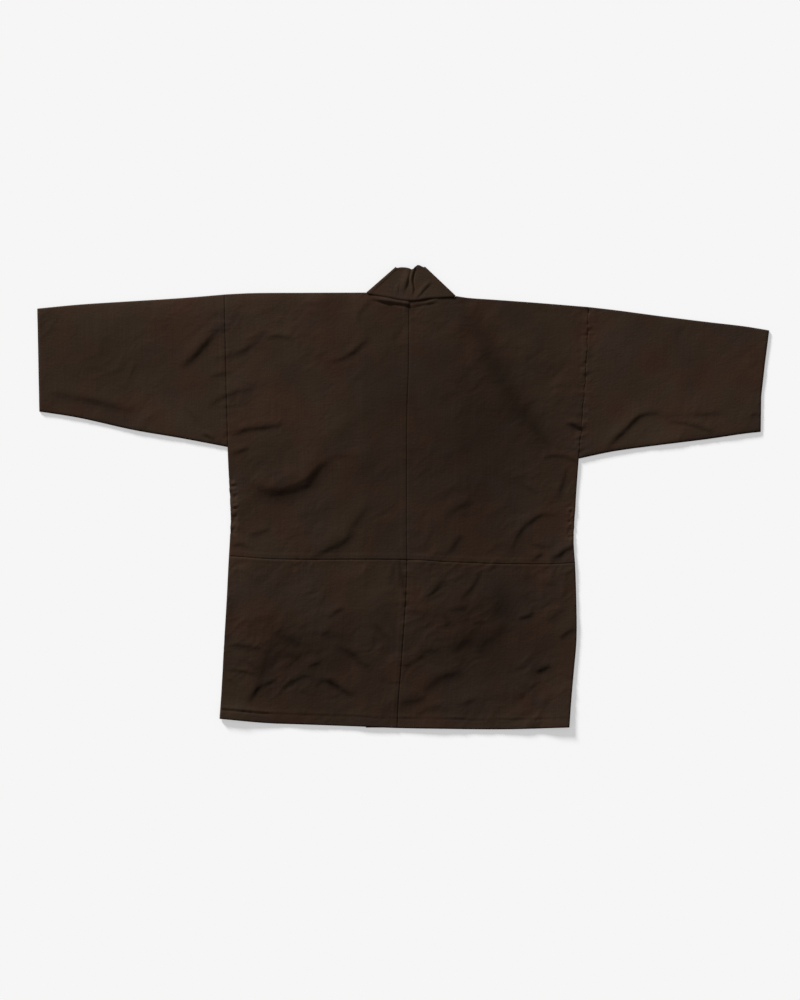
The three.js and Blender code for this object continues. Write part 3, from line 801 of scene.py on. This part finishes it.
# Rows round a fold, from the upper layer's edge down to the under layer's.
def turnRows(edgeX, edgeY, edgeZ, way, steps=6):
    reachUp = (edgeZ - layer["under"]) / 2
    rows = []
    for i in range(1, steps):
        angle = math.pi / 2 - math.pi * i / steps
        out = (layer["upper"] - layer["under"]) / 2 * math.cos(angle)
        height = layer["under"] + reachUp * (1 + math.sin(angle))
        rows.append(np.stack([edgeX, edgeY + way * out, height], axis=1))
    return rows


turnInset = (layer["upper"] - layer["under"]) / 2 + wall / 2
seamHalf = 0.00015
seamLip = {
    "round": 0.0005,
    "roundWidth": 0.0009,
    "allowance": 0.009,
    "allowanceRise": 0.0003,
    "tuckDrop": 0.0013,
}


# The side of a seam that lies over the other, with the allowance pressed under it.
def overLip(distance, rise=seamLip["allowanceRise"], allowance=seamLip["allowance"]):
    lip = -seamLip["round"] * np.exp(-((distance / seamLip["roundWidth"]) ** 2))
    return lip + rise * (1 - smooth((distance - allowance) / 0.0022))


# The side that runs under: distance is from its hidden edge.
def underLip(distance):
    return -seamLip["tuckDrop"] * (1 - smooth(distance / (tuck + 0.0024)))


print("stage: measuring the frame")
upperEdges = {node: frameEdges(node, above=layer["between"]) for node in ("body_left", "body_right")}
underEdges = {node: frameEdges(node, below=layer["between"]) for node in ("body_left", "body_right")}

bodyPiece = {
    "step": 0.00235,
    "underPitch": 0.0065,
    "neckX": {"left": -0.0694, "right": 0.0981},
    "underCollar": 0.004,  # the back runs on under the collar by this
    "collarDip": 0.0016,
    "sleeveEnds": {"left": 0.090, "right": 0.072},
    "sideLow": 0.0019,
    "gathered": {"left": (-0.080, 0.045), "right": (-0.095, -0.002)},
}


def makeBody(side):
    node = f"body_{side}"
    edges = upperEdges[node]
    neckX = bodyPiece["neckX"][side]
    isLeft = side == "left"
    outerX = cornerOf(edges, -1 if isLeft else 1, 1)[0]
    centreX = cornerOf(edges, 1 if isLeft else -1, 1)[0]
    back = regionOf(edges, (outerX, neckX) if isLeft else (neckX, outerX))
    belowNeck = dict(back, top=edgeCurve(edges, 0, *sorted((neckX, centreX)), np.max))
    front = regionOf(underEdges[node])
    # The left back lies over the right at the centre, and both backs over the lower ones.
    underArm = bodyPiece["sleeveEnds"][side]
    offsets = {"bottom": -seamHalf, "left": -seamHalf, "right": -seamHalf}
    if isLeft:
        sideEdge = back["left"]

        def tuckedEdge(y):  # under the sleeve
            return sideEdge(y) - tuck * smooth((y - underArm) / 0.012)

        back["left"] = tuckedEdge
        belowNeck["left"] = tuckedEdge
    else:
        offsets["left"] = -seamHalf - tuck  # under the left back
    over = dict(offsets, top=turnInset)
    under = dict(offsets, top=-bodyPiece["underCollar"])
    shoulderY = back["top"](neckX)
    left, right = back["left"](shoulderY), back["right"](shoulderY)
    width = right - left
    neckShare = (neckX - left) / width
    pitch = bodyPiece["step"]
    before = graded(neckX - left, True, False, pitch) * neckShare
    beyond = neckShare + graded(right - neckX, False, True, pitch)[1:] * (1 - neckShare)
    across = np.concatenate([before, beyond])
    onShoulder = across <= neckShare + 1e-9 if isLeft else across >= neckShare - 1e-9
    length = shoulderY - back["bottom"](neckX)
    up = graded(length, True, True, pitch)
    a, b = across[:, None], up[None, :]
    x, y = placeIn(back, a, b, over)
    neckPlaces = placeIn(belowNeck, a, b, under)
    x = np.where(onShoulder[:, None], x, neckPlaces[0])
    y = np.where(onShoulder[:, None], y, neckPlaces[1])
    z = layer["upper"] + clothTop(x, y, node)
    fromLeft = x - back["left"](y) - offsets["left"]
    fromRight = back["right"](y) - x - offsets["right"]
    fromBottom = y - back["bottom"](y * 0 + x) - offsets["bottom"]
    outer, centre = (fromLeft, fromRight) if isLeft else (fromRight, fromLeft)
    atSleeve = smooth((y - underArm) / 0.012)
    if not isLeft:
        z += edgeLift(y, outer, "side") * (1 - atSleeve)
    underCollar = belowNeck["top"](x) - y + bodyPiece["underCollar"]
    dipped = ~onShoulder[:, None] & (underCollar < 0.02)
    z -= np.where(dipped, bodyPiece["collarDip"] * (1 - smooth((underCollar - 0.0030) / 0.0016)), 0)
    gathered = bodyPiece["gathered"][side]
    inGathers = smooth((y - gathered[0]) / 0.02) * smooth((gathered[1] - y) / 0.02)
    fromNeck = np.where(onShoulder[:, None], 1, np.abs(underCollar - bodyPiece["underCollar"]))
    fromFold = np.where(onShoulder[:, None], back["top"](x) - y - turnInset, 1)
    # tone is painted edge shade: darker along the neck and waist seams and the allowance line, and
    # painted light on the shoulder fold, the gathers and the right sleeve seam.
    tone = paintedEdgeShadeAt(fromNeck, "neck")
    if isLeft:
        z += atSleeve * underLip(outer) + overLip(centre)
        z += pucker(y, outer, 0.008, 0.00045, 21, 0.009) * atSleeve
        tone += paintedEdgeShadeAt(fromFold, "shoulder") + paintedEdgeShadeAt(fromBottom, "acrossLeft")
        tone += paintedEdgeShadeAt(outer - 0.0075, "gathersLeft") * inGathers
    else:
        z += atSleeve * overLip(outer, 0.0005, crookedSeam["line"]) + underLip(centre)
        z += pucker(y, outer, 0.009, 0.00070, 21, 0.009) * atSleeve + seamCrinkle(x, y, outer) * atSleeve
        tone += paintedEdgeShadeAt(fromBottom, "acrossRight") + paintedEdgeShadeAt(outer - 0.0075, "gathersRight") * inGathers
        broken = 0.6 + 0.6 * softNoise(y, y * 0, 0.012, 33)
        tone += paintedEdgeShadeAt(outer - crookedSeam["line"], "allowance") * atSleeve * broken
        tone += paintedEdgeShadeAt(outer, "seamRight") * atSleeve
        x += seamWaver(y, outer, underArm, back["top"](x))
    z += overLip(fromBottom)
    gathers = pucker(y, outer, 0.0062, 0.0011, 25, 0.010)
    bunched = softNoise(x, y, 0.0046, 26, 0.2, 1.3) * np.exp(-(((outer - 0.0075) / 0.006) ** 2))
    gathers = (gathers + 0.0013 * bunched) * inGathers
    z += gathers
    x += 0.35 * gathers * (-1 if isLeft else 1)
    z += pucker(y, centre, 0.009, 0.00022, 23)
    z += pucker(x, fromBottom, 0.010, 0.00030, 27)
    rolled = edgeRoll(z, outer, bodyPiece["sideLow"])
    z = np.where(atSleeve < 1, rolled * (1 - atSleeve) + z * atSleeve, z)
    rows = [np.stack([x[:, k], y[:, k], z[:, k]], axis=1) for k in range(len(up))]
    turned = turnRows(x[:, -1], y[:, -1], z[:, -1], 1)
    rows += turned
    frontLength = shoulderY - front["bottom"](neckX)
    frontShare = (across / neckShare) if isLeft else (across - neckShare) / (1 - neckShare)
    frontShare = np.clip(frontShare, 0, 1)[:, None]
    down = graded(frontLength, False, False, bodyPiece["underPitch"])[None, :]
    fx, fy = placeIn(dict(front, top=back["top"]), frontShare, 1 - down, {"top": turnInset})
    ramp = smooth(down / 0.05)
    fx = x[:, -1:] * (1 - ramp) + fx * ramp
    inside = np.minimum(fx - front["left"](fy), front["right"](fy) - fx)
    inside = np.minimum(inside, fy - front["bottom"](fx)) - 0.004
    rise = underRise(fx, fy, node, (node, f"lower_back_{side}")) * ramp * smooth(inside / 0.014)
    fz = layer["under"] + rise
    rows += [np.stack([fx[:, k], fy[:, k], fz[:, k]], axis=1) for k in range(fx.shape[1])]
    points = np.stack(rows, axis=1)
    tone = np.concatenate([tone, np.repeat(tone[:, -1:], len(turned), 1), np.zeros(fx.shape)], axis=1)
    kept = np.ones(points.shape[:2], bool)
    kept[~onShoulder, len(up):] = False
    piece = finishSheet(f"{node}_cloth", points, tone, kept)
    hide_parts(node)
    cutLength = (shoulderY - back["bottom"](neckX)) + frontLength
    cutArea = width * length + (width * (neckShare if isLeft else 1 - neckShare)) * frontLength
    return piece


for side in ("left", "right"):
    makeBody(side)

hem = {"depth": 0.017, "roll": 0.0006, "groove": 0.0010, "strongTo": -0.235, "seamRise": 0.0002}


def makeLowerBack(side):
    node = f"lower_back_{side}"
    isLeft = side == "left"
    region = regionOf(frameEdges(node))
    offsets = {"left": -seamHalf, "right": -seamHalf, "top": -seamHalf - tuck, "bottom": 0}
    if not isLeft:
        offsets["left"] -= tuck
    middle = 0.5 * (region["left"](-0.25) + region["right"](-0.25))
    width = region["right"](-0.25) - region["left"](-0.25)
    length = region["top"](middle) - region["bottom"](middle)
    across, up = graded(width), graded(length)
    x, y = placeIn(region, across[:, None], up[None, :], offsets)
    z = layer["upper"] + clothTop(x, y, node)
    fromLeft = x - region["left"](y) - offsets["left"]
    fromRight = region["right"](y) - x - offsets["right"]
    fromBottom = y - region["bottom"](x)
    fromTop = region["top"](x) - y - offsets["top"]
    outer, centre = (fromLeft, fromRight) if isLeft else (fromRight, fromLeft)
    z += np.maximum(edgeLift(y, outer, "side") * (not isLeft), edgeLift(x, fromBottom, "hem"))
    z += hem["seamRise"] * (1 - smooth((fromTop - tuck - 0.005) / 0.0015))
    z += overLip(centre) * 1.5 if isLeft else underLip(centre)
    z += underLip(fromTop)
    hemLine = fromBottom - hem["depth"] - 0.0008 * softNoise(x, x * 0, 0.04, 51)
    strength = 0.55 + 0.9 * smooth((hem["strongTo"] - x) / 0.02) + 0.3 * softNoise(x, x * 0, 0.03, 52)
    z += strength * hem["roll"] * np.exp(-(((hemLine - 0.0045) / 0.0035) ** 2))
    z -= strength * hem["groove"] * np.exp(-((hemLine / 0.0013) ** 2))
    z += pucker(x, np.abs(hemLine), 0.012, 0.00030, 53)
    z += pucker(y, centre, 0.008, 0.00100, 55) * (0.4 + 0.6 * smooth((y + 0.30) / 0.1))
    z += pucker(x, fromTop, 0.010, 0.00030, 27)
    z += pucker(y, outer, 0.009, 0.00030, 57)
    z = edgeRoll(z, outer, bodyPiece["sideLow"])
    z = edgeRoll(z, fromBottom, bodyPiece["sideLow"], 0.0018)
    # Painted shade along the hem edge.
    piece = finishSheet(f"{node}_cloth", np.stack([x, y, z], axis=2), paintedEdgeShadeAt(fromBottom, "hem"))
    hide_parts(node)
    flat = (float(width), float(length + hem["depth"]))
    float(width * length)
    return piece


for side in ("left", "right"):
    makeLowerBack(side)

sleevePiece = {"underPitch": 0.0045, "cuffDrop": 0.0010}


def makeSleeve(side):
    node = f"sleeve_{side}"
    isLeft = side == "left"
    region = regionOf(frameEdges(node))
    # Each seam's left piece lies over its right one.
    offsets = {"left": 0, "right": -seamHalf} if isLeft else {"left": -seamHalf - tuck, "right": 0}
    offsets.update(bottom=turnInset, top=turnInset)
    middle = 0.5 * (region["left"](0.22) + region["right"](0.22))
    width = region["right"](0.22) - region["left"](0.22)
    height = region["top"](middle) - region["bottom"](middle)
    across, up = graded(width), graded(height, False, False)
    x, y = placeIn(region, across[:, None], up[None, :], offsets)
    z = layer["upper"] + clothTop(x, y, node)
    fromLeft = x - region["left"](y) - offsets["left"]
    fromRight = region["right"](y) - x - offsets["right"]
    seam, cuff = (fromRight, fromLeft) if isLeft else (fromLeft, fromRight)
    fromLow = y - region["bottom"](x) - turnInset
    fromTop = region["top"](x) - y - turnInset
    # tone is painted shade along the lower fold and the cuff and painted light along the top fold; the
    # right sleeve also gets painted shade above its lower fold and painted light at its seam.
    tone = paintedEdgeShadeAt(fromLow, "fold") + paintedEdgeShadeAt(cuff, "cuff")
    if isLeft:
        z += overLip(seam) + pucker(y, seam, 0.008, 0.00045, 21, 0.009)
        tone += paintedEdgeShadeAt(fromTop, "shoulder")
    else:
        fromSeam = np.abs(seam - tuck)
        puckers = pucker(y, fromSeam, 0.009, 0.00070, 21, 0.009)
        z += underLip(seam) + puckers + seamCrinkle(x, y, fromSeam)
        tone += paintedEdgeShadeAt(fromLow, "foldShadow") + paintedEdgeShadeAt(fromSeam, "seamRight")
        x += seamWaver(y, fromSeam, region["bottom"](x), region["top"](x))
    z -= sleevePiece["cuffDrop"] * (1 - smooth(cuff / 0.004))
    z += pucker(y, cuff, 0.015, 0.00025, 61)
    z += pucker(x, y - region["bottom"](x), 0.012, 0.00035, 63)
    rows = [np.stack([x[:, k], y[:, k], z[:, k]], axis=1) for k in range(len(up))]
    turned = turnRows(x[:, -1], y[:, -1], z[:, -1], 1)
    rows += turned
    down = graded(height, False, False, sleevePiece["underPitch"])[None, :]
    ux, uy = placeIn(region, across[:, None], 1 - down, offsets)
    inside = np.minimum(ux - region["left"](uy), region["right"](uy) - ux) - 0.003
    rise = underRise(ux, uy, node, (node,)) * smooth(down / 0.1) * smooth((1 - down) / 0.1)
    uz = layer["under"] + rise * smooth(inside / 0.014)
    rows += [np.stack([ux[:, k], uy[:, k], uz[:, k]], axis=1) for k in range(ux.shape[1])]
    rows += turnRows(x[:, 0], y[:, 0], z[:, 0], -1)[::-1]
    rows.append(rows[0])
    lowest = np.repeat(tone[:, :1], len(turned), 1)
    above = np.repeat(tone[:, -1:], len(turned), 1)
    tone = np.concatenate([tone, above, np.zeros(ux.shape), lowest, tone[:, :1]], axis=1)
    piece = finishSheet(f"{node}_cloth", np.stack(rows, axis=1), tone, closed=True)
    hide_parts(node)
    float(2 * height)
    return piece


for side in ("left", "right"):
    makeSleeve(side)

collar = {
    "wall": 0.0024,
    "width": 0.051,
    "tips": (-0.0122, 0.0382),
    "pitch": 0.0018,
    "frontPitch": 0.008,
    "creases": [
        (2.6, 2.0, (16, 371), (19, 385), (16, 405), (21, 421)),
        (5.5, 1.5, (2, 378), (8, 400), (13, 418), (16, 432)),
        (3.5, 0.7, (-9, 374), (-9, 385), (-8, 395)),
        (3.2, 1.3, (24, 367), (40, 385), (54, 399)),
    ],
    "lap": 0.0007,
    "rim": 0.0003,  # the folded edges stand up
}


def makeCollar():
    node = "collar_band"
    thick = collar["wall"]
    under, over = thick / 2, thick / 2 + thick + 0.0012
    reach = (over - under) / 2
    upper = frameEdges(node, above=0.0034)
    tipLeft, tipRight = collar["tips"]
    seamEdge = edgeCurve(upper, 0, cornerOf(upper, -1, -1)[0], cornerOf(upper, 1, -1)[0], np.min)
    freeEdge = edgeCurve(upper, 0, tipLeft, tipRight, np.max)
    lower = frameEdges(node, below=0.0025)
    foot = lower[:, :, 1].min()
    shares = graded(collar["width"], True, True, collar["pitch"])
    rows = []

    def addRow(seamPoint, freePoint, height):
        start, end = np.array(seamPoint), np.array(freePoint)
        flat = start + (end - start) * shares[:, None]
        rows.append(np.concatenate([flat, np.full((len(shares), 1), height)], axis=1))

    def frontRows(side):
        inwards = 1 if side == "left" else -1
        edgeX = bodyPiece["neckX"][side] + inwards * seamHalf
        cornerX = edgeX + inwards * (reach + thick / 2)
        corner = np.array([cornerX, seamEdge(cornerX)])
        tip = np.array([tipLeft if side == "left" else tipRight, 0])
        tip[1] = freeEdge(tip[0])
        straightTop = corner[1] - collar["width"] / 2
        freeX = edgeX + inwards * collar["width"]
        made = []
        for t in graded(straightTop - foot, False, False, collar["frontPitch"]):
            y = foot + (straightTop - foot) * t
            made.append(((edgeX, y), (freeX, y), under))
        for t in (0.25, 0.5, 0.75, 1.0):
            seamPoint = (edgeX + (corner[0] - edgeX) * t, straightTop + (corner[1] - straightTop) * t)
            freePoint = (freeX + (tip[0] - freeX) * t, straightTop + (tip[1] - straightTop) * t)
            made.append((seamPoint, freePoint, under))
        slant = (tip - corner) / np.linalg.norm(tip - corner)
        way = np.array([-inwards * slant[1], inwards * slant[0]])
        turned = []
        for i in range(1, 8):
            angle = -math.pi / 2 + math.pi * i / 8
            out = reach * math.cos(angle)
            turned.append((corner + way * out, tip + way * out, under + reach * (1 + math.sin(angle))))
        return made, turned, corner, tip

    leftRun, leftTurn, leftCorner, leftTip = frontRows("left")
    rightRun, rightTurn, rightCorner, rightTip = frontRows("right")
    for row in leftRun + leftTurn:
        addRow(*row)
    behind = np.linspace(0, 1, 96)
    firstBehind = len(rows)
    for t in behind:
        seamX = leftCorner[0] + (rightCorner[0] - leftCorner[0]) * t
        freeX = leftTip[0] + (rightTip[0] - leftTip[0]) * t
        addRow((seamX, seamEdge(seamX)), (freeX, freeEdge(freeX)), over)
    lastBehind = len(rows)
    for row in rightTurn[::-1] + rightRun[::-1]:
        addRow(*row)
    points = np.stack(rows, axis=1)
    part = points[:, firstBehind:lastBehind]
    x, y = part[..., 0], part[..., 1]
    rise = np.zeros(x.shape)
    for row in collar["creases"]:
        rise = rise + creaseForm(x, y, row, row[0] < 3.2)[0]
    notch = 0.0165 + (y - 0.3634) * 0.05
    rise += collar["lap"] * smooth((x - notch) / 0.003) * smooth((y - 0.375) / 0.03)
    rise += 0.0005 * softNoise(x, y, 0.022, 71, 0.9, 1.4)
    count = lastBehind - firstBehind
    fromEnds = np.minimum(np.linspace(0, 1, count), np.linspace(1, 0, count))
    part[..., 2] += rise * smooth(fromEnds / 0.06)[None, :]
    across = (rightCorner[0] - leftCorner[0]) * fromEnds
    part[..., 2] += collar["rim"] * np.exp(-(((across - 0.0030) / 0.0028) ** 2))[None, :]
    fromTop = (1 - shares) * collar["width"]
    part[..., 2] += collar["rim"] * np.exp(-(((fromTop - 0.003) / 0.0020) ** 2))[:, None]
    edgeRound = 0.0007 * (np.exp(-((shares * collar["width"] / 0.0012) ** 2)) * 0.6)
    part[..., 2] -= edgeRound[:, None]
    # tone is painted shade along the collar's seam edge, its rims and its turned ends.
    tone = np.zeros(points.shape[:2])
    tone[:, firstBehind:lastBehind] = paintedEdgeShadeAt(shares * collar["width"], "neck")[:, None]
    rims = paintedEdgeShadeAt(fromTop, "collarRim")[:, None] + paintedEdgeShadeAt(across, "collarRim")[None, :]
    tone[:, firstBehind:lastBehind] += rims
    tone[:, firstBehind - 4:firstBehind] = paintedEdgeShade["collarRim"][0]
    tone[:, lastBehind:lastBehind + 4] = paintedEdgeShade["collarRim"][0]
    piece = finishSheet("collar_band_cloth", points, tone, thickness=thick, material=paintedLighterCollarSilk)
    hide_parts(node)
    length = 2 * (leftCorner[1] - foot) + rightCorner[0] - leftCorner[0]
    return piece


makeCollar()

print("stage: done")
